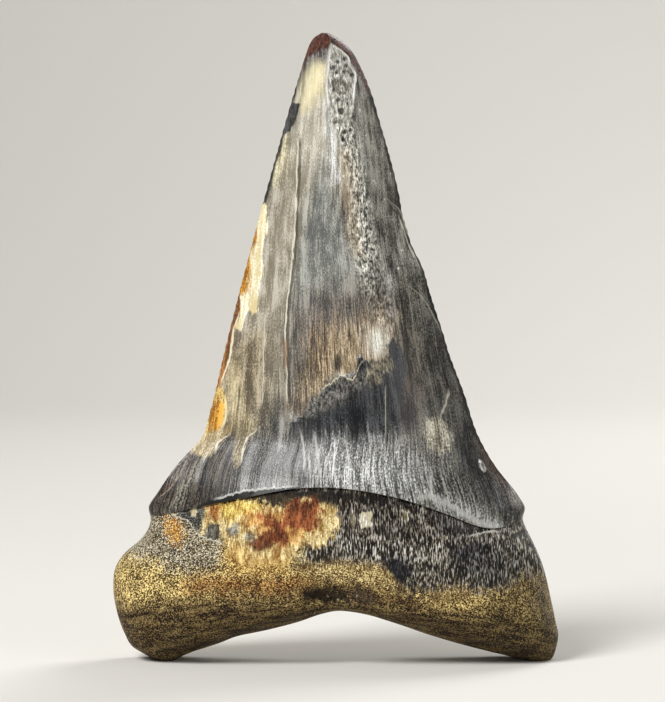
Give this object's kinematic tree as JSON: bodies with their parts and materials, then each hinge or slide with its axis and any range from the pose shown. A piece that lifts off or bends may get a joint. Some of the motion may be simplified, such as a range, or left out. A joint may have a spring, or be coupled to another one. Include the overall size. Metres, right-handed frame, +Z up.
{
  "type": "fossil shark tooth",
  "caption": "Fossil great white shark tooth standing on its root: dark worn enamel crown with a chipped tip, over a speckled golden-brown bone root with two lobes.",
  "frame": {"origin": "middle of the tooth's box at the level of the two worn flats that it stands on", "axes": "+Z up from the root to the crown's tip, -Y towards the convex tongue side that the picture shows, +X to the right as seen from that side"},
  "size_m": [0.0428, 0.0118, 0.06],
  "materials": {
    "fossil": "satin"
  },
  "bodies": {
    "root": {"fossil_tooth": "fossil"}
  },
  "joints": []
}
